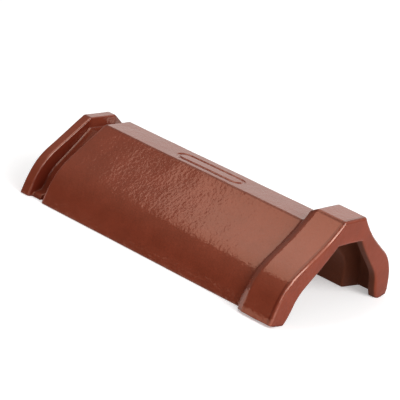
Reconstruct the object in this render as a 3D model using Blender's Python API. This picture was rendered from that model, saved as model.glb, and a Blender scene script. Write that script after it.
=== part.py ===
"""Angular ridge tile with a collar at the front and a groove and lip at the tail.

The tile is one cast piece. It is lofted from closed section rings that stand across its length:
each ring runs over the outside from the left foot to the right foot and back through the inside.
Metres, +Z up, length along Y with the collar towards -Y, origin at the middle of the footprint.
"""

from collections import namedtuple

import bmesh
import bpy
import numpy as np

# A section outline is the crown's half width and height, the knee where the slope turns down
# into the side, the foot's half width, the sag of the slope below its chord, the two radii, how
# far the foot's corner stands off the ground, and how far the foot flares beyond its half width.
Outline = namedtuple(
    "Outline",
    "crown_half crown knee_half knee foot_half sag crown_radius knee_radius foot_lift foot_flare",
    defaults=[0.0, 0.0],
)

# Length, from the collar's front face to the tail
LENGTH = 0.440

# Outside of the tail lip, which the next tile's collar covers
LIP = Outline(
    crown_half=0.027, crown=0.1065, knee_half=0.1135, knee=0.0465, foot_half=0.1245,
    sag=0.0, crown_radius=0.008, knee_radius=0.080,
)
LIP_WIDTH = 0.0155
LIP_EDGE = 0.0020
LIP_FACE_DRAFT = 0.0025
# A rounded edge is two facets that meet at this share of its size from both faces
EDGE_SHARE = 0.3

# Outside of the body where it leaves the collar; towards the tail it fills out to the lip's size
NECK_CROWN_HALF = 0.026
NECK_KNEE_INSET = 0.0012
NECK_KNEE_DROP = 0.0036
NECK_FOOT_INSET = 0.0018
NECK_SAG = 0.0030
CROWN_RADIUS = 0.004

# Collar: how far its outline stands beyond the lip that it covers
COLLAR_CROWN_COVER = 0.0220
COLLAR_KNEE_COVER = 0.0155
COLLAR_KNEE_RISE = 0.0060
COLLAR_FOOT_COVER = 0.0160
COLLAR_CROWN_HALF = 0.0255
COLLAR_SAG = 0.0046
COLLAR_CROWN_RADIUS = 0.003
COLLAR_EDGE = 0.0020
COLLAR_FLAT_LENGTH = 0.046
COLLAR_CHAMFER_LENGTH = 0.010
COLLAR_CHAMFER_SHARE = 0.30
COLLAR_BACK_LENGTH = 0.005
COLLAR_FILLET_LENGTH = 0.005
COLLAR_FILLET_SHARE = 0.08
COLLAR_FOOT_LIFT = 0.005

# Front rib inside the collar, and the groove in the tail that takes the next tile's rib. The
# groove's floor lies this far inside the lip, deepest at the knee, and flares out at the foot.
RIB_THICKNESS = 0.012
RIB_FIT = 0.0010
GROOVE_CROWN_DEPTH = 0.0140
GROOVE_CROWN_SPREAD = 0.0010
GROOVE_KNEE_INSET = 0.0225
GROOVE_KNEE_DROP = 0.0105
GROOVE_FOOT_INSET = 0.0200
GROOVE_FOOT_FLARE = 0.0040
GROOVE_SAG = 0.0010
GROOVE_CROWN_RADIUS = 0.005
GROOVE_KNEE_RADIUS = 0.054
GROOVE_PLAY = 0.0020
SHOULDER_LENGTH = 0.007
SHOULDER_EDGE = 0.0015
SHOULDER_DROP = 0.0006
GROOVE_FILLET = 0.0010

# Socket behind the rib, which takes the next tile's lip
SOCKET_FIT = 0.0030
SOCKET_PLAY = 0.0100
SOCKET_STEP_LENGTH = 0.005
CAST_DRAFT = 0.0015

# Height over which a foot flares out
FLARE_HEIGHT = 0.022

# Hollow under the body: wall thickness at the crown, on the slopes and at the feet
CROWN_WALL = 0.021
SLOPE_WALL = 0.017
FOOT_WALL = 0.030
GROOVE_WALL = 0.010
HOLLOW_KNEE_RADIUS = 0.040

# Fineness of the loft
CROWN_STEPS = 3
SLOPE_STEPS = 6
KNEE_STEPS = 8
FOOT_STEPS = 3
BODY_BAYS = 7
SHARP_ANGLE = np.radians(24.0)


def unit(vector):
    """The vector at length one."""
    return vector / np.linalg.norm(vector)


def meeting(point_a, along_a, point_b, along_b):
    """The point where two lines of the section cross."""
    reach = np.linalg.solve(np.column_stack([along_a, -along_b]), point_b - point_a)
    return point_a + along_a * reach[0]


def grown(outline, crown, slope, side):
    """The outline with its crown, slope and side lines moved outwards, or inwards if negative."""
    crown_corner = np.array([outline.crown_half, outline.crown])
    knee = np.array([outline.knee_half, outline.knee])
    foot = np.array([outline.foot_half, 0.0])
    down_slope = unit(knee - crown_corner)
    down_side = unit(foot - knee)
    slope_point = crown_corner + slope * np.array([-down_slope[1], down_slope[0]])
    side_point = knee + side * np.array([-down_side[1], down_side[0]])
    new_crown = np.array([0.0, outline.crown + crown])
    new_corner = meeting(new_crown, np.array([1.0, 0.0]), slope_point, down_slope)
    new_knee = meeting(slope_point, down_slope, side_point, down_side)
    new_foot = meeting(side_point, down_side, np.zeros(2), np.array([1.0, 0.0]))
    return outline._replace(
        crown_half=new_corner[0], crown=new_corner[1],
        knee_half=new_knee[0], knee=new_knee[1], foot_half=new_foot[0],
    )


def grown_evenly(outline, distance):
    """The outline moved outwards by one distance all round."""
    return grown(outline, distance, distance, distance)


def mixed(first, second, share):
    """The outline that lies the given share of the way from the first to the second."""
    return Outline(*(a + (b - a) * share for a, b in zip(first, second)))


def arc(before, corner, after, radius, steps):
    """Points of the round that replaces a corner, tangent to both of its legs."""
    leg_in = unit(before - corner)
    leg_out = unit(after - corner)
    half_angle = np.arccos(np.clip(leg_in @ leg_out, -1.0, 1.0)) / 2
    centre = corner + unit(leg_in + leg_out) * radius / np.sin(half_angle)
    reach = radius / np.tan(half_angle)
    start = corner + leg_in * reach - centre
    end = corner + leg_out * reach - centre
    sweep = np.pi - 2 * half_angle
    share = np.linspace(0.0, 1.0, steps + 1)[:, None]
    return centre + (np.sin((1 - share) * sweep) * start + np.sin(share * sweep) * end) / np.sin(sweep)


def half_outline(outline):
    """Points of the right half of an outline, from the middle of the crown down to the foot.

    The slope sags below its chord by sag * 27/4 * t * (1 - t)^2, deepest a third of the way down.
    Below the flare height h the side moves outwards by flare * (1 - z/h)^2.
    """
    middle = np.array([0.0, outline.crown])
    crown_corner = np.array([outline.crown_half, outline.crown])
    knee = np.array([outline.knee_half, outline.knee])
    foot = np.array([outline.foot_half, 0.0])
    crown_round = arc(middle, crown_corner, knee, outline.crown_radius, CROWN_STEPS)
    knee_round = arc(crown_corner, knee, foot, outline.knee_radius, KNEE_STEPS)
    slope = np.linspace(crown_round[-1], knee_round[0], SLOPE_STEPS + 1)[1:-1]
    points = np.vstack([crown_round, slope, knee_round])

    chord = knee - crown_corner
    along = np.clip((points - crown_corner) @ chord / (chord @ chord), 0.0, 1.0)
    inwards = unit(np.array([chord[1], -chord[0]]))
    points = points + np.outer(outline.sag * 27 / 4 * along * (1 - along) ** 2, inwards)
    lifted_foot = foot + (knee - foot) * outline.foot_lift / outline.knee
    side = np.linspace(points[-1], lifted_foot, FOOT_STEPS + 1)[1:]
    points = np.vstack([middle, points, side])
    points[:, 0] += outline.foot_flare * np.clip(1 - points[:, 1] / FLARE_HEIGHT, 0.0, 1.0) ** 2
    return points


def ring(outer, inner):
    """One closed section: over the outside from left to right, back through the inside."""
    mirror = np.array([-1.0, 1.0])
    outside = half_outline(outer)
    inside = half_outline(inner)
    return np.vstack([outside[::-1] * mirror, outside[1:], inside[::-1], inside[1:] * mirror])


def outlines():
    """Every named outline, each worked out from the lip that neighbouring tiles share."""
    tail = LIP._replace(crown_half=NECK_CROWN_HALF, crown_radius=CROWN_RADIUS)
    neck = tail._replace(
        knee_half=LIP.knee_half - NECK_KNEE_INSET, knee=LIP.knee - NECK_KNEE_DROP,
        foot_half=LIP.foot_half - NECK_FOOT_INSET, sag=NECK_SAG,
    )
    collar = Outline(
        crown_half=COLLAR_CROWN_HALF, crown=LIP.crown + COLLAR_CROWN_COVER,
        knee_half=LIP.knee_half + COLLAR_KNEE_COVER, knee=LIP.knee + COLLAR_KNEE_RISE,
        foot_half=LIP.foot_half + COLLAR_FOOT_COVER, sag=COLLAR_SAG,
        crown_radius=COLLAR_CROWN_RADIUS, knee_radius=LIP.knee_radius, foot_lift=COLLAR_FOOT_LIFT,
    )
    groove = Outline(
        crown_half=LIP.crown_half + GROOVE_CROWN_SPREAD, crown=LIP.crown - GROOVE_CROWN_DEPTH,
        knee_half=LIP.knee_half - GROOVE_KNEE_INSET, knee=LIP.knee - GROOVE_KNEE_DROP,
        foot_half=LIP.foot_half - GROOVE_FOOT_INSET, sag=GROOVE_SAG,
        crown_radius=GROOVE_CROWN_RADIUS, knee_radius=GROOVE_KNEE_RADIUS,
        foot_flare=GROOVE_FOOT_FLARE,
    )
    hollow_front = grown(neck, -CROWN_WALL, -SLOPE_WALL, -FOOT_WALL)._replace(
        knee_radius=HOLLOW_KNEE_RADIUS,
    )
    hollow_tail = grown_evenly(groove, -GROOVE_WALL)._replace(
        sag=0.0, knee_radius=HOLLOW_KNEE_RADIUS, foot_flare=0.0,
    )
    return {
        "neck": neck,
        "tail": tail,
        "collar": collar,
        "groove": groove,
        "rib": grown_evenly(groove, RIB_FIT),
        "socket": grown_evenly(LIP, SOCKET_FIT),
        "hollow_front": hollow_front,
        "hollow_tail": hollow_tail,
    }


def outer_stations(shape):
    """Rows of distance from the front and outside outline."""
    collar, neck, tail, groove = shape["collar"], shape["neck"], shape["tail"], shape["groove"]
    chamfer_end = COLLAR_FLAT_LENGTH + COLLAR_CHAMFER_LENGTH
    back_end = chamfer_end + COLLAR_BACK_LENGTH
    body_start = back_end + COLLAR_FILLET_LENGTH
    lip_start = LENGTH - LIP_WIDTH
    groove_end = lip_start - LIP_FACE_DRAFT
    groove_start = groove_end - RIB_THICKNESS - GROOVE_PLAY
    body_end = groove_start - SHOULDER_LENGTH
    rows = [
        (0.0, grown_evenly(collar, -COLLAR_EDGE)),
        (EDGE_SHARE * COLLAR_EDGE, grown_evenly(collar, -EDGE_SHARE * COLLAR_EDGE)),
        (COLLAR_EDGE, collar),
        (COLLAR_FLAT_LENGTH, collar),
        (chamfer_end, mixed(collar, neck, COLLAR_CHAMFER_SHARE)),
        (back_end, mixed(neck, collar, COLLAR_FILLET_SHARE)),
        (body_start, neck),
    ]
    for bay in range(1, BODY_BAYS):
        share = bay / BODY_BAYS
        rows.append((body_start + share * (body_end - body_start), mixed(neck, tail, share)))
    rows += [
        (body_end - SHOULDER_EDGE, tail),
        (body_end, grown_evenly(tail, -SHOULDER_DROP)),
        (groove_start, grown_evenly(groove, GROOVE_FILLET)),
        (groove_start + GROOVE_FILLET, groove),
        (groove_end - GROOVE_FILLET, groove),
        (groove_end, grown_evenly(groove, GROOVE_FILLET)),
        (lip_start, grown_evenly(LIP, -LIP_EDGE)),
        (lip_start + LIP_EDGE, LIP),
        (LENGTH - LIP_EDGE, LIP),
        (LENGTH - EDGE_SHARE * LIP_EDGE, grown_evenly(LIP, -EDGE_SHARE * LIP_EDGE)),
        (LENGTH, grown_evenly(LIP, -LIP_EDGE)),
    ]
    return rows


def inner_stations(shape):
    """Rows of distance from the front and inside outline."""
    socket_end = RIB_THICKNESS + CAST_DRAFT + LIP_WIDTH + SOCKET_PLAY
    return [
        (0.0, shape["rib"]),
        (RIB_THICKNESS, shape["rib"]),
        (RIB_THICKNESS + CAST_DRAFT, shape["socket"]),
        (socket_end, shape["socket"]),
        (socket_end + SOCKET_STEP_LENGTH, shape["hollow_front"]),
        (LENGTH, shape["hollow_tail"]),
    ]


def outline_at(rows, distance):
    """The outline at any distance, mixed between the two stations around it."""
    places = np.array([row[0] for row in rows])
    after = int(np.clip(np.searchsorted(places, distance), 1, len(rows) - 1))
    before = after - 1
    share = (distance - places[before]) / (places[after] - places[before])
    return mixed(rows[before][1], rows[after][1], share)


def tile_mesh():
    """Loft the closed section rings along the length and close both ends."""
    shape = outlines()
    outer_rows = outer_stations(shape)
    inner_rows = inner_stations(shape)
    distances = np.unique(np.round([row[0] for row in outer_rows + inner_rows], 6))

    tile = bmesh.new()
    rings = []
    for distance in distances:
        points = ring(outline_at(outer_rows, distance), outline_at(inner_rows, distance))
        y = distance - LENGTH / 2
        rings.append([tile.verts.new((x, y, z)) for x, z in points])

    for front, back in zip(rings[:-1], rings[1:]):
        for index in range(len(front)):
            following = (index + 1) % len(front)
            tile.faces.new((front[index], front[following], back[following], back[index]))
    tile.faces.new(rings[0])
    tile.faces.new(rings[-1])
    bmesh.ops.recalc_face_normals(tile, faces=tile.faces)

    mesh = bpy.data.meshes.new("ridge_tile")
    tile.to_mesh(mesh)
    tile.free()
    mesh.shade_smooth()
    mesh.set_sharp_from_angle(angle=SHARP_ANGLE)
    return mesh


def chestnut_glaze():
    """Glossy red-brown coat."""
    material = bpy.data.materials.new("chestnut_glaze")
    material.use_nodes = True
    shader = material.node_tree.nodes["Principled BSDF"]
    shader.inputs["Base Color"].default_value = (0.20, 0.052, 0.026, 1.0)
    shader.inputs["Roughness"].default_value = 0.22
    shader.inputs["Metallic"].default_value = 0.0
    return material


def main():
    """Clear the scene and add the tile."""
    for item in list(bpy.data.objects):
        bpy.data.objects.remove(item, do_unlink=True)
    mesh = tile_mesh()
    mesh.materials.append(chestnut_glaze())
    tile = bpy.data.objects.new("ridge_tile", mesh)
    bpy.context.scene.collection.objects.link(tile)


main()
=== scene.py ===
"""Angular ridge tile, cast in one piece and dipped in a thick chestnut glaze.

The tile is one loft: a closed section ring is carried along the length, from the collar's front
face to the tail lip, and both ends are closed by a face between the outside and the inside.
Metres, +Z up, length along Y with the collar towards -Y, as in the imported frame.
"""

import bpy
import numpy as np
from mathutils import Matrix, Vector


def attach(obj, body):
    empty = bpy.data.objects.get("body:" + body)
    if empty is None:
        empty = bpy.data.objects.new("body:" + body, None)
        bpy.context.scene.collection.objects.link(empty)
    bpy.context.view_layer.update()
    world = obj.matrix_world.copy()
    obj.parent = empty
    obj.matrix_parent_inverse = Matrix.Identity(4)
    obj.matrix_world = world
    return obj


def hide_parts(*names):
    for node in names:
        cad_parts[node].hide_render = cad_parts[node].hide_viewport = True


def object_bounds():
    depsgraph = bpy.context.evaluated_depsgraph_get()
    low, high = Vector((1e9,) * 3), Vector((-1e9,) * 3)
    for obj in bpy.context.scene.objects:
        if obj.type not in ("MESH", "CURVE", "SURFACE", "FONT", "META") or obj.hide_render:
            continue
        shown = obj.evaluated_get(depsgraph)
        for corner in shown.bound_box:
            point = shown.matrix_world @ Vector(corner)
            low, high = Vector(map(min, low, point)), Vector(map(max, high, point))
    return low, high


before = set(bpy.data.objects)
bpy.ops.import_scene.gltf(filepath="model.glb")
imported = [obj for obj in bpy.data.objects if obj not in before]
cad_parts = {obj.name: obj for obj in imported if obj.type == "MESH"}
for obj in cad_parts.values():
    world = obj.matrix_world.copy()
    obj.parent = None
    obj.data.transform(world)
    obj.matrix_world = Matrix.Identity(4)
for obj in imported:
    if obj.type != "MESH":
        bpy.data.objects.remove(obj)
cad_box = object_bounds()


# The tile's whole length, and the height below which its sides flare
LENGTH = 0.440
FLARE_HEIGHT = 0.022

# Where the finish changes, as distances from the collar's front face: each mark fades over its pair
FRONT_ARRIS = (0.0002, 0.0020)
BACK_ARRIS = (LENGTH - 0.0020, LENGTH - 0.0002)
RIB_MOUTH = (0.0008, 0.0030)
TAIL_MOUTH = (LENGTH - 0.0040, LENGTH - 0.0008)
STEP_START = (0.046, 0.051)
STEP_END = (0.064, 0.067)
SHOULDER_FOOT = (0.4066, 0.4084)
LIP_FOOT = (0.4205, 0.4222)
LIP_TOP = (0.4250, 0.4268)

# Where the groove's painted shade, partly a pooled coat, starts and is full, out from the crown's
# middle
BESIDE_CROWN = (0.024, 0.034)

# How strong each mark is where it is less than full; the step, foot and shoulder ones are painted
# shade, in the groove partly a pooled coat
STEP_SHADE = 0.55
FOOT_SHADE = 0.6
SHOULDER_SHADE_AND_POOL = 0.3
RIM_ARRIS = 0.25
ARRIS_WEIGHTS = (1.0, 0.0, 0.0, 0.0, 1.0, 0.0, 0.8, 1.0, 1.0)


def outline(*sizes):
    """One outline as an array of its eleven sizes."""
    return np.array(sizes)


def grown(shape, distance):
    """The outline moved outwards by a distance: crown up, slope and side along their normals.

    A corner between two moved lines lies at corner + distance * (n1 + n2) / (1 + n1 . n2).
    """
    corner, knee = shape[0:2], shape[2:4]
    foot = np.array([shape[4], 0.0])
    slope = (knee - corner) / np.linalg.norm(knee - corner)
    side = (foot - knee) / np.linalg.norm(foot - knee)
    up = np.array([0.0, 1.0])
    slope_out = np.array([-slope[1], slope[0]])
    side_out = np.array([-side[1], side[0]])
    moved = shape.copy()
    moved[0:2] = corner + distance * (up + slope_out) / (1 + up @ slope_out)
    moved[2:4] = knee + distance * (slope_out + side_out) / (1 + slope_out @ side_out)
    moved[4] = shape[4] + distance / side_out[0]
    return moved


# Section outlines. The columns are the crown's half width and height, the knee's half width and
# height, the foot's half width and lift, the slope's sag, the crown, knee and foot radii, and the
# foot's flare.
LIP = outline(0.027, 0.1065, 0.1135, 0.0465, 0.1245, 0.0, 0.0, 0.008, 0.080, 0.0012, 0.0)
TAIL = outline(0.026, 0.1065, 0.1135, 0.0465, 0.1245, 0.0, 0.0, 0.004, 0.080, 0.0012, 0.0)
NECK = outline(0.026, 0.1065, 0.1123, 0.0429, 0.1227, 0.0, 0.003, 0.004, 0.080, 0.0012, 0.0)
COLLAR = outline(0.0255, 0.1285, 0.129, 0.0525, 0.1405, 0.002, 0.0046, 0.0062, 0.080, 0.002, 0.0)
GROOVE = outline(0.028, 0.0925, 0.091, 0.036, 0.1045, 0.0, 0.001, 0.005, 0.054, 0.002, 0.004)
RIB = grown(GROOVE, 0.0002)
SOCKET = grown(LIP, 0.003)
HOLLOW_FRONT = outline(0.0183, 0.0855, 0.0848, 0.0395, 0.0919, 0.0, 0.0, 0.006, 0.040, 0.002, 0.0)
HOLLOW_TAIL = grown(GROOVE, -0.010) + outline(0, 0, 0, 0, 0, 0, -0.001, 0, -0.014, 0, -0.004)


def shares(steps):
    """Shares of a leg from 0 to 1, from a count of equal steps or as the given array."""
    return np.linspace(0.0, 1.0, steps + 1) if np.isscalar(steps) else steps


def graded(stops, counts):
    """Shares from 0 to 1 in stretches between the stops, each with its own count of steps."""
    stretches = zip(stops[:-1], stops[1:], counts)
    parts = [np.linspace(low, high, steps + 1)[:-1] for low, high, steps in stretches]
    return np.concatenate(parts + [[1.0]])


def arc_marks(arc_steps, leg_steps):
    """For each point of a rounded polyline, sin(pi s) along each arc and 0 elsewhere.

    The result has a row for each point and a column for each arc.
    """
    rows = []
    for index, steps in enumerate(arc_steps):
        rows.append(np.zeros((len(shares(leg_steps[index])) - 1, len(arc_steps))))
        arc = np.zeros((steps, len(arc_steps)))
        arc[:, index] = np.sin(np.pi * np.arange(steps) / steps)
        rows.append(arc)
    rows.append(np.zeros((len(shares(leg_steps[-1])), len(arc_steps))))
    return np.concatenate(rows)


def rounded(corners, radii, arc_steps, leg_steps, weight=1.0):
    """A polyline with each inner corner replaced by an arc tangent to both legs, in any dimension.

    corners is (..., K, D) and radii (..., K - 2). An arc runs from start to end around its centre
    as (sin((1 - s) a) start + sin(s a) end) / sin(a), where a is the angle that it turns.
    """
    scaled = corners * weight
    pieces = []
    last_end = scaled[..., 0, :]
    for index in range(scaled.shape[-2] - 2):
        before, corner, after = (scaled[..., index + step, :] for step in range(3))
        leg_in = before - corner
        leg_in = leg_in / np.linalg.norm(leg_in, axis=-1, keepdims=True)
        leg_out = after - corner
        leg_out = leg_out / np.linalg.norm(leg_out, axis=-1, keepdims=True)
        cosine = np.clip((leg_in * leg_out).sum(-1, keepdims=True), -1 + 1e-7, 1 - 1e-7)
        half_angle = np.arccos(cosine) / 2
        radius = np.asarray(radii)[..., index, None]
        reach = radius / np.tan(half_angle)
        middle = leg_in + leg_out
        middle = middle / np.maximum(np.linalg.norm(middle, axis=-1, keepdims=True), 1e-9)
        centre = corner + middle * radius / np.sin(half_angle)
        start = corner + leg_in * reach
        end = corner + leg_out * reach
        turn = (np.pi - 2 * half_angle)[..., None, :]
        share = np.linspace(0.0, 1.0, arc_steps[index] + 1)[:, None]
        swept = np.sin((1 - share) * turn) * (start - centre)[..., None, :]
        swept = swept + np.sin(share * turn) * (end - centre)[..., None, :]
        arc = centre[..., None, :] + swept / np.sin(turn)
        leg = shares(leg_steps[index])[:-1, None]
        pieces.append(last_end[..., None, :] * (1 - leg) + start[..., None, :] * leg)
        pieces.append(arc[..., :-1, :])
        last_end = end
    last = shares(leg_steps[-1])[:, None]
    pieces.append(last_end[..., None, :] * (1 - last) + scaled[..., -1, None, :] * last)
    return np.concatenate(pieces, axis=-2) / weight


# How much the distance and each of the eleven sizes count where stations are rounded together
STATION_WEIGHTS = np.array([1, 0.6, 0.6, 0.6, 0.6, 0.6, 0.2, 0.2, 0.1, 0.02, 0.1, 0.1])


def stations(rows, arc_steps, leg_steps):
    """Rings of (distance from the front, eleven sizes), rounded where the outline changes.

    Each row is a distance, an outline and the radius of its round, None at both ends. The first and
    last ring, which only give the ends their direction, are left out.
    """
    corners = np.array([np.concatenate([[row[0]], row[1]]) for row in rows])
    radii = [row[2] for row in rows[1:-1]]
    return rounded(corners, radii, arc_steps, leg_steps, STATION_WEIGHTS)[1:-1]


# Fineness across the section: the crown is finest where the ring is pressed into it
LINE_ARCS = (6, 16, 6)
LINE_LEGS = (graded((0.0, 0.32, 0.62, 1.0), (5, 12, 3)), 24, 9, 1)

# Rows of vertices between the outside and the inside, on the underside and on both end faces
WALL_BANDS = 5


def half_line(shape, turn):
    """Right half of each outline, from the middle of the crown to the end of the foot's round.

    shape is (N, 11). The foot turns onto a flat underside, inwards for -1 and outwards for 1. The
    slope sags by sag * 27/4 * t * (1 - t)^2 square to the chord from the crown's corner to the knee,
    and the side moves outwards by flare * (1 - z/h)^2 below the flare height h.
    """
    crown = np.stack([np.zeros(len(shape)), shape[:, 1]], axis=-1)
    corner, knee, foot = shape[:, 0:2], shape[:, 2:4], shape[:, 4:6]
    beyond = foot + (turn * 0.010, 0.0)
    corners = np.stack([crown, corner, knee, foot, beyond], axis=1)
    points = rounded(corners, shape[:, 7:10], LINE_ARCS, LINE_LEGS)[:, :-1]
    chord = (knee - corner)[:, None, :]
    along = ((points - corner[:, None, :]) * chord).sum(-1) / (chord * chord).sum(-1)
    along = np.clip(along, 0.0, 1.0)
    inwards = np.stack([chord[..., 1], -chord[..., 0]], axis=-1)
    inwards = inwards / np.linalg.norm(chord, axis=-1, keepdims=True)
    points = points + (shape[:, 6, None] * 27 / 4 * along * (1 - along) ** 2)[..., None] * inwards
    points[..., 0] += shape[:, 10, None] * np.clip(1 - points[..., 1] / FLARE_HEIGHT, 0, 1) ** 2
    return points


# The random lattice repeats after this many cells, and starts far enough off to stay positive
LATTICE = 64
LATTICE_SHIFT = 1000.0


def value_noise(points, size, seed):
    """Smooth noise from 0 to 1: random values on a cubic lattice, blended by 3t^2 - 2t^3."""
    table = np.random.default_rng(seed).random((LATTICE, LATTICE, LATTICE))
    place = points / size + LATTICE_SHIFT
    cell = np.floor(place).astype(int)
    t = place - cell
    t = t * t * (3 - 2 * t)
    total = np.zeros(len(points))
    for step in np.ndindex(2, 2, 2):
        weight = np.where(step, t, 1 - t).prod(axis=1)
        x, y, z = ((cell + step) % LATTICE).T
        total += weight * table[x, y, z]
    return total


def ramp(value, low, high):
    """0 below low, 1 above high, and 3t^2 - 2t^3 between."""
    t = np.clip((value - low) / (high - low), 0.0, 1.0)
    return t * t * (3 - 2 * t)


def band(value, start, end):
    """1 between two places and 0 outside them, ramped over the pair given for each."""
    return ramp(value, *start) * (1 - ramp(value, *end))


def columns(line, distances, *marks):
    """The eight columns of every point of a set of lines, one line for each distance."""
    flat = np.ones(line.shape[:2])
    y = (distances[:, None] - LENGTH / 2) * flat
    return np.stack([line[..., 0], y, line[..., 1]] + [mark * flat for mark in marks], axis=-1)


def tile_lines():
    """The right halves of the outside and the inside lines, from front to tail.

    Both have the same number of lines, and those of the hollow lie beside the outside ones. A
    point has eight columns: its place, how far towards the inside line it lies, and four marks from
    0 to 1. Arris is on the rounded edges, where the coat is thin and a highlight is painted, outside
    is away from both ends, the shade mark is painted shade at the collar's step, in the groove and on
    the feet, in the groove partly a coat that runs together, and inside is the hollow.
    """
    # Steps along each round and each straight leg, from the front face to the tail
    outer_arcs = (8, 6, 5, 7, 9, 6, 6, 7, 7)
    body = graded((0.0, 0.32, 0.68, 1.0), (30, 110, 30))
    outer_legs = (1, 14, 4, 4, body, 5, 6, 7, 6, 1)
    outer = stations([
        (0.0, grown(COLLAR, -0.009), None),
        (0.0, COLLAR, 0.0052),
        (0.0465, COLLAR, 0.0080),
        (0.0560, COLLAR + 0.30 * (NECK - COLLAR), 0.0060),
        (0.0618, NECK, 0.0050),
        (0.4008, TAIL, 0.0058),
        (0.4080, GROOVE, 0.0018),
        (0.4220, GROOVE, 0.0014),
        (0.4245, LIP, 0.0040),
        (LENGTH, LIP, 0.0024),
        (LENGTH, grown(LIP, -0.006), None),
    ], outer_arcs, outer_legs)
    inner_arcs = (6, 3, 3, 6, 6, 6)
    front_legs = (1, 1, 2, 7, 6)
    first = sum(inner_arcs[:-1]) + sum(front_legs) - 1
    beside = outer[first:len(outer) - inner_arcs[-1], 0]
    hollow_leg = (beside - beside[0]) / (beside[-1] - beside[0])
    inner_legs = (*front_legs, hollow_leg, 1)
    inner = stations([
        (0.0, grown(RIB, 0.006), None),
        (0.0, RIB, 0.0050),
        (0.0120, RIB, 0.0015),
        (0.0135, SOCKET, 0.0015),
        (0.0390, SOCKET, 0.0030),
        (0.0440, HOLLOW_FRONT, 0.0030),
        (LENGTH, HOLLOW_TAIL, 0.0020),
        (LENGTH, grown(HOLLOW_TAIL, 0.005), None),
    ], inner_arcs, inner_legs)

    outer_line = half_line(outer[:, 1:], -1.0)
    inner_line = half_line(inner[:, 1:], 1.0)
    along = arc_marks(outer_arcs, outer_legs)[1:-1]
    across = arc_marks(LINE_ARCS, LINE_LEGS)[:-1]
    distance = outer[:, 0, None]
    # Painted shade, in the groove partly a pooled coat: at the groove's shoulder and lip face, at the
    # collar's step and on the feet
    groove_shade_and_pool = SHOULDER_SHADE_AND_POOL * ramp(distance, *SHOULDER_FOOT)
    groove_shade_and_pool = groove_shade_and_pool + (1 - SHOULDER_SHADE_AND_POOL) * ramp(distance, *LIP_FOOT)
    groove_shade_and_pool = groove_shade_and_pool * (1 - ramp(distance, *LIP_TOP)) * ramp(outer_line[..., 0], *BESIDE_CROWN)
    shade_and_pool = np.maximum(STEP_SHADE * band(distance, STEP_START, STEP_END), groove_shade_and_pool)
    shade_and_pool = np.maximum(shade_and_pool, FOOT_SHADE * across[:, 2])
    arris = (along * ARRIS_WEIGHTS).max(axis=1, keepdims=True)
    away = band(distance, FRONT_ARRIS, BACK_ARRIS)
    rim = RIM_ARRIS * arc_marks(inner_arcs, inner_legs)[1:-1, [0, -1]].max(axis=1, keepdims=True)
    hidden = band(inner[:, 0, None], RIB_MOUTH, TAIL_MOUTH)

    outside = columns(outer_line, outer[:, 0], 0.0, arris, away, shade_and_pool, 0.0)
    inside = columns(inner_line, inner[:, 0], 1.0, rim, 0.0, 0.0, hidden)
    return outside, inside


def tile_surface():
    """Vertices with their columns, and quads, of the whole tile as a closed grid.

    Each ring holds the outside line, the underside, the inside line and their mirror images, and
    each end is closed by a face in two halves, which share its middle column.
    """
    outside, inside = tile_lines()
    count = outside.shape[1]
    bands = WALL_BANDS
    share = np.linspace(0.0, 1.0, bands + 2)[1:-1, None]
    underside = outside[:, -1:, :] * (1 - share) + inside[:, -1:, :] * share
    mirror = np.array([-1.0] + [1.0] * 7)
    right = np.concatenate([outside, underside, inside[:, ::-1]], axis=1)
    left = right[:, -2:0:-1] * mirror
    rings = np.concatenate([right, left], axis=1)
    ring_count, ring_size = rings.shape[:2]

    index = np.arange(ring_count * ring_size).reshape(ring_count, ring_size)
    following = np.roll(index, -1, axis=1)
    sides = np.stack([index[:-1], index[1:], following[1:], following[:-1]], axis=-1).reshape(-1, 4)

    vertices = [rings.reshape(-1, 8)]
    quads = [sides]
    total = ring_count * ring_size
    for end, turned in ((0, False), (-1, True)):
        blend = outside[end][None] * (1 - share[..., None]) + inside[end][None] * share[..., None]
        for side in (1, -1):
            grid = np.empty((bands + 2, count), dtype=int)
            ring = index[end]
            around = (np.arange(count) * side) % ring_size
            grid[0] = ring[around]
            grid[-1] = ring[(side * (2 * count + bands - 1) - side * np.arange(count)) % ring_size]
            grid[1:-1, -1] = ring[(side * (count + np.arange(bands))) % ring_size]
            if side == 1:
                grid[1:-1, :-1] = total + np.arange(bands * (count - 1)).reshape(bands, count - 1)
                middle = grid[1:-1, 0].copy()
                vertices.append(blend[:, :-1].reshape(-1, 8))
                total += bands * (count - 1)
            else:
                grid[1:-1, 0] = middle
                grid[1:-1, 1:-1] = total + np.arange(bands * (count - 2)).reshape(bands, count - 2)
                vertices.append((blend[:, 1:-1] * mirror).reshape(-1, 8))
                total += bands * (count - 2)
            faces = np.stack([grid[:-1, :-1], grid[:-1, 1:], grid[1:, 1:], grid[1:, :-1]], axis=-1)
            faces = faces.reshape(-1, 4)
            quads.append(faces if (side == 1) != turned else faces[:, ::-1])
    return np.concatenate(vertices), np.concatenate(quads)[:, ::-1]


def vertex_normals(points, quads):
    """Area-weighted normals from each quad's crossed diagonals."""
    first, second, third, fourth = (points[quads[:, corner]] for corner in range(4))
    across = np.cross(third - first, fourth - second)
    normals = np.zeros_like(points)
    for corner in range(4):
        np.add.at(normals, quads[:, corner], across)
    return normals / np.linalg.norm(normals, axis=1, keepdims=True)


# Left as cast: the opening sits a little to the right, and webs close the groove's feet
OPENING_SHIFT = 0.0020
OPENING_LENGTH = 0.044
WEB_WIDTH = 0.0105
WEB_TOP = (0.0075, 0.0100)
WEB_START = (0.4070, 0.4095)
WEB_END = (0.4215, 0.4240)

# A plain stadium ring pressed into the crown: its middle, half straight, mean radius and stroke
RING_PLACE = (-0.002, 0.012)
RING_STRAIGHT = 0.0425
RING_RADIUS = 0.0108
RING_STROKE = 0.0044
RING_DEPTH = 0.0011
RING_WALL = 0.0010


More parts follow.
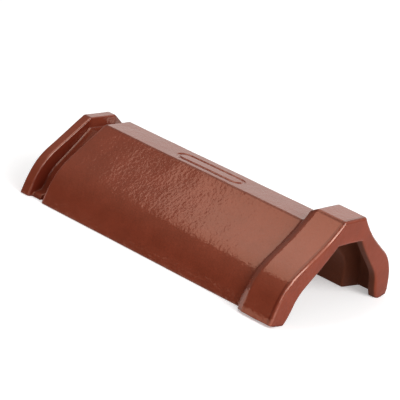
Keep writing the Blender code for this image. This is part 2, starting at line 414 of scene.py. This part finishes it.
def cast_faults(points, depth):
    """Move the opening aside and fill the groove's feet with a web that ends in a small ledge."""
    distance = points[:, 1] + LENGTH / 2
    moved = points.copy()
    moved[:, 0] += OPENING_SHIFT * depth * (1 - ramp(distance, 0.0, OPENING_LENGTH))
    web = band(distance, WEB_START, WEB_END) * (1 - ramp(points[:, 2], *WEB_TOP))
    moved[:, 0] += np.sign(points[:, 0]) * WEB_WIDTH * (1 - depth) * web
    return moved


def pressed_ring(points):
    """Depth of the ring at each point.

    It is full near the middle line, which lies one radius from a straight segment along the crown,
    and falls to 0 over the wall's width at half a stroke from that line.
    """
    beside = points[:, 0] - RING_PLACE[0]
    beyond = np.maximum(np.abs(points[:, 1] - RING_PLACE[1]) - RING_STRAIGHT, 0.0)
    off_line = np.abs(np.hypot(beside, beyond) - RING_RADIUS)
    edge = (RING_STROKE - RING_WALL) / 2
    return RING_DEPTH * (1 - ramp(off_line, edge, edge + RING_WALL))


# Marks of the finish and of painted light and shade on each vertex, from 0 to 1
MARKS = ("arris", "outside", "shade_and_pool", "inside", "worn")

# Unevenness of the cast body, as depth, size and seed of each noise: broad, fine and foot drips
BROAD = (0.0010, 0.070, 1)
FINE = (0.0004, 0.024, 2)
DRIPS = (0.0012, 0.0065, 3)

# Near the ground the unevenness keeps this share, and it is full above this height
GROUND_SHARE = 0.25
GROUND_HEIGHT = 0.035

# Where the drips end, by height and by distance from the front
DRIP_TOP = (0.004, 0.011)
DRIP_END = (0.050, 0.062)

# The ring is pressed only where the surface faces up, by the upward part of its normal
FACING_UP = (0.96, 0.995)

# Worn stretches of the arrises, which don't shine: size and seed of their noise, and its ramp
WORN_SIZE = 0.036
WORN_SEED = 1204
WORN_RAMP = (0.35, 0.60)


def build_tile():
    """The tile's mesh, with the slight unevenness of a cast body under a thick coat.

    Each vertex sinks along its normal by noise, by the pressed ring on the crown and by the drips
    at the collar's feet, and then stays inside the solids' box.
    """
    surface, quads = tile_surface()
    depth = surface[:, 3]
    points = cast_faults(surface[:, :3], depth)
    normals = vertex_normals(points, quads)
    height = points[:, 2]
    sunk = BROAD[0] * value_noise(points, *BROAD[1:]) + FINE[0] * value_noise(points, *FINE[1:])
    sunk *= GROUND_SHARE + (1 - GROUND_SHARE) * ramp(height, 0.0, GROUND_HEIGHT)
    sunk += pressed_ring(points) * ramp(normals[:, 2], *FACING_UP) * (depth < 0.01)
    drips = (1 - ramp(height, *DRIP_TOP)) * (1 - ramp(points[:, 1] + LENGTH / 2, *DRIP_END))
    sunk += DRIPS[0] * drips * (depth < 0.5) * value_noise(points, *DRIPS[1:])
    points = points - normals * sunk[:, None]
    points = np.clip(points, cad_box[0], cad_box[1])

    worn = 1 - ramp(value_noise(points, WORN_SIZE, WORN_SEED), *WORN_RAMP)

    mesh = bpy.data.meshes.new("tile")
    mesh.from_pydata(points, [], quads)
    for name, values in zip(MARKS, (*surface[:, 4:].T, worn)):
        marks = mesh.attributes.new(name, "FLOAT", "POINT")
        marks.data.foreach_set("value", values.astype(np.float32))
    mesh.shade_smooth()
    mesh.update()
    tile = bpy.data.objects.new("tile", mesh)
    bpy.context.scene.collection.objects.link(tile)
    return tile


class Sock:
    """One socket of a shader tree, so that maths on values reads as an expression."""

    def __init__(self, tree, socket):
        self.tree = tree
        self.socket = socket

    def _math(self, operation, first, second=0.0):
        return node(self.tree, "ShaderNodeMath", {"operation": operation}, {0: first, 1: second})

    def __add__(self, other):
        return self._math("ADD", self, other)

    def __sub__(self, other):
        return self._math("SUBTRACT", self, other)

    def __rsub__(self, other):
        return self._math("SUBTRACT", other, self)

    def __mul__(self, other):
        return self._math("MULTIPLY", self, other)

    def __abs__(self):
        return self._math("ABSOLUTE", self)

    __radd__ = __add__


def node(tree, kind, settings=None, inputs=None, output=0):
    """A node of one kind: its settings first, then each socket's value or link."""
    made = tree.nodes.new(kind)
    for name, value in (settings or {}).items():
        setattr(made, name, value)
    for name, value in (inputs or {}).items():
        if isinstance(value, Sock):
            tree.links.new(value.socket, made.inputs[name])
        else:
            made.inputs[name].default_value = value
    return Sock(tree, made.outputs[output])


def mixed_colour(tree, share, first, second):
    """The first colour where the share is 0 and the second where it is 1."""
    sockets = {0: share, 6: first, 7: second}
    return node(tree, "ShaderNodeMix", {"data_type": "RGBA"}, sockets, output=2)


def noise(tree, place, scale, detail=2.0, roughness=0.5):
    """Noise from 0 to 1 with its mean near 0.5, at one scale or at one for each axis."""
    if not np.isscalar(scale):
        place = node(tree, "ShaderNodeVectorMath", {"operation": "MULTIPLY"}, {0: place, 1: scale})
        scale = 1.0
    sockets = {"Vector": place, "Scale": scale, "Detail": detail, "Roughness": roughness}
    return node(tree, "ShaderNodeTexNoise", inputs=sockets)


def eased(tree, value, low, high, bottom=0.0, top=1.0):
    """From bottom at low to top at high, eased at both ends."""
    settings = {"interpolation_type": "SMOOTHSTEP"}
    sockets = {"Value": value, "From Min": low, "From Max": high, "To Min": bottom, "To Max": top}
    return node(tree, "ShaderNodeMapRange", settings, sockets)


def mark(tree, name):
    """One of the tile's own marks, from 0 to 1."""
    return node(tree, "ShaderNodeAttribute", {"attribute_name": name}, output="Fac")


# Colours of the glaze
CHESTNUT = (0.195, 0.036, 0.0170, 1.0)
RUSSET = (0.225, 0.042, 0.0205, 1.0)
# Paler brown for the arrises' thin coat and their painted highlight, and for the painted highlight on
# the collar's slopes
THIN_COAT_AND_HIGHLIGHT = (0.29, 0.068, 0.040, 1.0)
# Dark brown for painted shade at the step, in the groove, on the feet and behind the front arris, in
# the groove partly a pooled coat; the crown's creases use it too
SHADE_AND_POOL_COAT = (0.120, 0.016, 0.0075, 1.0)
INSIDE_COAT = (0.090, 0.025, 0.013, 1.0)
SPECULAR_TINT = (1.0, 0.54, 0.37, 1.0)

# How the two browns part in clouds, and where the arrises turn pale from a thin coat and a painted
# highlight, with how ragged an edge
CLOUD_RAMP = (0.30, 0.70)
THIN_AND_HIGHLIGHT_RAMP = (0.65, 1.05)
THIN_AND_HIGHLIGHT_RAGGED = 0.9

# Where the arrises shine by their mark, how strongly, and how much of it a worn stretch loses
SHINE_RAMP = (0.30, 0.85)
SHINE = 0.32
SHINE_LOST = 0.8

# A painted highlight on the collar's slopes: its end by Y, its height and how pale
COLLAR_HIGHLIGHT_END = (-0.1760, -0.1720)
COLLAR_HIGHLIGHT_HEIGHT = (0.060, 0.085)
COLLAR_PAINTED_HIGHLIGHT = 0.45

# Painted shade, in the groove partly a thick coat: by its mark with a ragged edge, at the feet by
# height and how strongly there, behind the front arris by Y, and how dark it gets
SHADE_POOL_RAMP = (0.25, 0.80)
SHADE_POOL_RAGGED = 0.5
LOW_SHADE_BAND = (0.0010, 0.0055)
LOW_SHADE = 0.6
ARRIS_SHADE_BAND = (-0.2136, -0.2118)
SHADED_AND_POOLED = 0.80

# Dark creases along the crown's edges: place across, fade to each side, lowest height, how dark
CREASE_HALF = 0.0265
CREASE_EDGE = (0.00068, 0.0017)
CREASE_HEIGHT = (0.085, 0.090)
CREASED = 0.75

# How dull the bare end faces are beside the inside
END_FACE = 0.88

# Scales of the coat's noises: run marks and waves are finer along the tile than across it
RUN_MARKS = (185.0, 235.0, 185.0)
WAVES = (65.0, 95.0, 65.0)
PEEL = 300.0
CLOUDS = 34.0
PATCHES = 120.0

# Depth of the relief in metres, and how much run marks and waves count in it beside the peel
RELIEF = 0.00018
RUN_WEIGHT = 1.6
WAVE_WEIGHT = 1.25

# Roughness of the smooth coat, and how far clouds, patches, creases and worn arrises raise it
GLOSS = 0.11
GLOSS_CLOUDS = 0.06
GLOSS_PATCHES = 0.05
GLOSS_CREASE = 0.25
GLOSS_WORN = 0.4


def chestnut_glaze():
    """Glossy chestnut coat with run marks, paler on the arrises from a thin coat and a painted
    highlight, a painted highlight on the collar's slopes, and painted shade in the groove, at the step
    and on the feet, in the groove partly a pooled coat.
    """
    material = bpy.data.materials.new("chestnut_glaze")
    material.use_nodes = True
    tree = material.node_tree
    place = node(tree, "ShaderNodeTexCoord", output="Object")
    arris, outside, shade_and_pool, inside, worn = (mark(tree, name) for name in MARKS)

    width, length, height = (
        node(tree, "ShaderNodeSeparateXYZ", inputs={"Vector": place}, output=axis) for axis in "XYZ")
    runs = noise(tree, place, RUN_MARKS)
    waves = noise(tree, place, WAVES, 1.0)
    peel = noise(tree, place, PEEL)
    cloud = noise(tree, place, CLOUDS, 4.0, 0.6)
    patches = noise(tree, place, PATCHES, 3.0, 0.6)

    # Two browns in clouds, paler on the arrises from a thin coat and a painted highlight, and a
    # painted highlight on the collar's slopes
    colour = mixed_colour(tree, eased(tree, cloud, *CLOUD_RAMP), CHESTNUT, RUSSET)
    thin_and_highlight = eased(tree, arris + (patches - 0.5) * THIN_AND_HIGHLIGHT_RAGGED, *THIN_AND_HIGHLIGHT_RAMP)
    colour = mixed_colour(tree, thin_and_highlight, colour, THIN_COAT_AND_HIGHLIGHT)
    collar_highlight = eased(tree, length, *COLLAR_HIGHLIGHT_END, 1.0, 0.0) * outside
    collar_highlight = collar_highlight * eased(tree, height, *COLLAR_HIGHLIGHT_HEIGHT)
    colour = mixed_colour(tree, collar_highlight * COLLAR_PAINTED_HIGHLIGHT, colour, THIN_COAT_AND_HIGHLIGHT)

    # Painted shade in the groove, at the step, on the feet and behind the front arris, in the groove
    # partly a thick coat; darker lines on the creases
    # Painted shade along the feet, darker towards the ground
    low = eased(tree, height, *LOW_SHADE_BAND, LOW_SHADE, 0.0)
    shaded_and_pooled = eased(tree, shade_and_pool + low + (patches - 0.5) * SHADE_POOL_RAGGED, *SHADE_POOL_RAMP)
    colour = mixed_colour(tree, shaded_and_pooled * SHADED_AND_POOLED, colour, SHADE_AND_POOL_COAT)
    # Painted shade in a narrow band behind the collar's front arris
    shade_behind_arris = eased(tree, length, *ARRIS_SHADE_BAND, 1.0, 0.0) * outside * (1.0 - arris)
    colour = mixed_colour(tree, shade_behind_arris * SHADED_AND_POOLED, colour, SHADE_AND_POOL_COAT)
    off_edge = abs(abs(width) - CREASE_HALF)
    crease = eased(tree, off_edge, *CREASE_EDGE, 1.0, 0.0) * eased(tree, height, *CREASE_HEIGHT)
    crease = crease * outside * eased(tree, patches, 0.25, 0.50, 0.5, 1.0)
    colour = mixed_colour(tree, crease * CREASED, colour, SHADE_AND_POOL_COAT)

    # Glossy, with a second bright coat on the arrises that is weaker on their worn stretches
    relief = runs * RUN_WEIGHT + waves * WAVE_WEIGHT + peel
    bump = node(tree, "ShaderNodeBump", inputs={"Height": relief, "Strength": 1.0, "Distance": RELIEF})
    on_arris = eased(tree, arris, *SHINE_RAMP)
    glint = on_arris * (1.0 - worn * SHINE_LOST)
    gloss = GLOSS + (cloud - 0.5) * GLOSS_CLOUDS + (patches - 0.5) * GLOSS_PATCHES
    gloss = gloss + crease * GLOSS_CREASE + on_arris * worn * GLOSS_WORN
    coat = node(tree, "ShaderNodeBsdfPrincipled", inputs={
        "Base Color": colour, "Roughness": gloss, "Normal": bump, "IOR": 1.55,
        "Specular IOR Level": 0.80, "Specular Tint": SPECULAR_TINT,
        "Coat Weight": glint * SHINE, "Coat Roughness": 0.10, "Coat IOR": 1.9})

    # Dull inside the tile and on its end faces
    bare = mixed_colour(tree, inside, colour, INSIDE_COAT)
    dull = node(tree, "ShaderNodeBsdfPrincipled", inputs={
        "Base Color": bare, "Roughness": 0.55, "Normal": bump,
        "Specular IOR Level": 0.08, "Specular Tint": SPECULAR_TINT})
    end_face = (1.0 - outside) * (1.0 - inside) * (1.0 - arris) * END_FACE
    finish = node(tree, "ShaderNodeMixShader", inputs={0: inside + end_face, 1: coat, 2: dull})
    tree.nodes.remove(tree.nodes["Principled BSDF"])
    tree.links.new(finish.socket, tree.nodes["Material Output"].inputs["Surface"])
    return material


# The floor's grey, its glow like a light table's, and how far it reaches to each side
FLOOR_COLOUR = (0.94, 0.94, 0.94, 1.0)
FLOOR_GLOW = 0.36
FLOOR_REACH = 8.0


def pale_floor():
    """A large plain floor at the tile's feet, even and matt."""
    reach = FLOOR_REACH
    mesh = bpy.data.meshes.new("floor")
    corners = [(-reach, -reach, 0), (reach, -reach, 0), (reach, reach, 0), (-reach, reach, 0)]
    mesh.from_pydata(corners, [], [(0, 1, 2, 3)])
    material = bpy.data.materials.new("pale_floor")
    material.use_nodes = True
    sockets = material.node_tree.nodes["Principled BSDF"].inputs
    sockets["Base Color"].default_value = FLOOR_COLOUR
    sockets["Roughness"].default_value = 0.9
    sockets["Emission Color"].default_value = (1.0, 1.0, 1.0, 1.0)
    sockets["Emission Strength"].default_value = FLOOR_GLOW
    mesh.materials.append(material)
    made = bpy.data.objects.new("floor", mesh)
    bpy.context.scene.collection.objects.link(made)
    return made


# How bright the surroundings are at the horizon and overhead, the ramp between them by the upward
# part of the direction, and how much brighter they look to the camera
HORIZON = 0.08
ZENITH = 0.42
SKY_RAMP = (0.20, 0.95)
SEEN_BRIGHTER = 0.85


def studio():
    """Even white surroundings, dim at the horizon and brighter overhead."""
    world = bpy.data.worlds.new("studio")
    world.use_nodes = True
    tree = world.node_tree
    around = node(tree, "ShaderNodeTexCoord", output="Generated")
    upward = node(tree, "ShaderNodeSeparateXYZ", inputs={"Vector": around}, output="Z")
    seen = node(tree, "ShaderNodeLightPath", output="Is Camera Ray")
    sky = eased(tree, upward, *SKY_RAMP, HORIZON, ZENITH) + seen * SEEN_BRIGHTER
    background = tree.nodes["Background"].inputs
    background["Color"].default_value = (1.0, 1.0, 1.0, 1.0)
    tree.links.new(sky.socket, background["Strength"])
    bpy.context.scene.world = world


# Each light's name, place, target, width, height, watts and colour
WHITE = (1.0, 1.0, 1.0)
LIGHTS = (
    ("overhead", (-0.07, 0.38, 1.30), (-0.07, 0.38, 0.0), 1.34, 0.76, 5.1, WHITE),
    ("backdrop", (2.2, 1.4, 0.95), (0.0, 0.0, 0.1), 2.4, 1.4, 11.0, (1.0, 0.97, 0.95)),
    ("front", (-0.02, -1.85, 1.42), (-0.08, -0.1, 0.05), 1.3, 1.7, 31.0, WHITE),
    ("strip", (-1.25, -1.65, 1.0), (-0.1, -0.2, 0.05), 0.5, 1.2, 7.0, WHITE),
    ("rear", (0.6, 2.2, 0.75), (0.0, 0.1, 0.05), 2.6, 1.4, 2.3, (1.0, 0.80, 0.68)),
)


def softbox(name, place, target, width, height, watts, colour):
    """A rectangular area light at a place, turned to face a target."""
    light = bpy.data.lights.new(name, "AREA")
    light.shape = "RECTANGLE"
    light.size = width
    light.size_y = height
    light.energy = watts
    light.color = colour
    lamp = bpy.data.objects.new(name, light)
    bpy.context.scene.collection.objects.link(lamp)
    lamp.location = place
    lamp.rotation_euler = (Vector(target) - Vector(place)).to_track_quat("-Z", "Y").to_euler()


# The camera as fitted to the tile's edges: azimuth, elevation and roll in degrees, metres from its
# aim, the focal length and the aim's offset in pixels of the photograph's frame
VIEW_ANGLES = (-57.2, 18.0, 15.1)
VIEW_DISTANCE = 2.499
VIEW_FOCAL = 1874.0
VIEW_OFFSET = (8.6, 9.1)
VIEW_AIM = (0.0, 0.0, 0.0515)
FRAME_PIXELS = 400
SENSOR = 36.0


def camera():
    """A camera at the photograph's view, placed so that the frame needs no shift."""
    azimuth, elevation, roll = np.radians(VIEW_ANGLES)
    level_part = np.cos(elevation)
    back = np.array([np.sin(azimuth) * level_part, -np.cos(azimuth) * level_part, np.sin(elevation)])
    level = np.cross(-back, (0.0, 0.0, 1.0))
    level /= np.linalg.norm(level)
    upright = np.cross(level, -back)
    right = np.cos(roll) * level + np.sin(roll) * upright
    up = -np.sin(roll) * level + np.cos(roll) * upright
    offset = right * VIEW_OFFSET[0] - up * VIEW_OFFSET[1]
    place = np.array(VIEW_AIM) + back * VIEW_DISTANCE - offset * VIEW_DISTANCE / VIEW_FOCAL
    data = bpy.data.cameras.new("camera")
    data.sensor_width = SENSOR
    data.lens = VIEW_FOCAL / FRAME_PIXELS * SENSOR
    data.clip_end = 100.0
    eye = bpy.data.objects.new("camera", data)
    bpy.context.scene.collection.objects.link(eye)
    turn = Matrix(np.column_stack([right, up, back]).tolist()).to_4x4()
    eye.matrix_world = Matrix.Translation(place.tolist()) @ turn
    bpy.context.scene.camera = eye


camera()
studio()
for light in LIGHTS:
    softbox(*light)
bpy.context.scene.view_settings.view_transform = "Standard"

floor = pale_floor()

tile = build_tile()
tile.data.materials.append(chestnut_glaze())
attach(tile, "root")
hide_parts("ridge_tile")

bpy.context.view_layer.update()
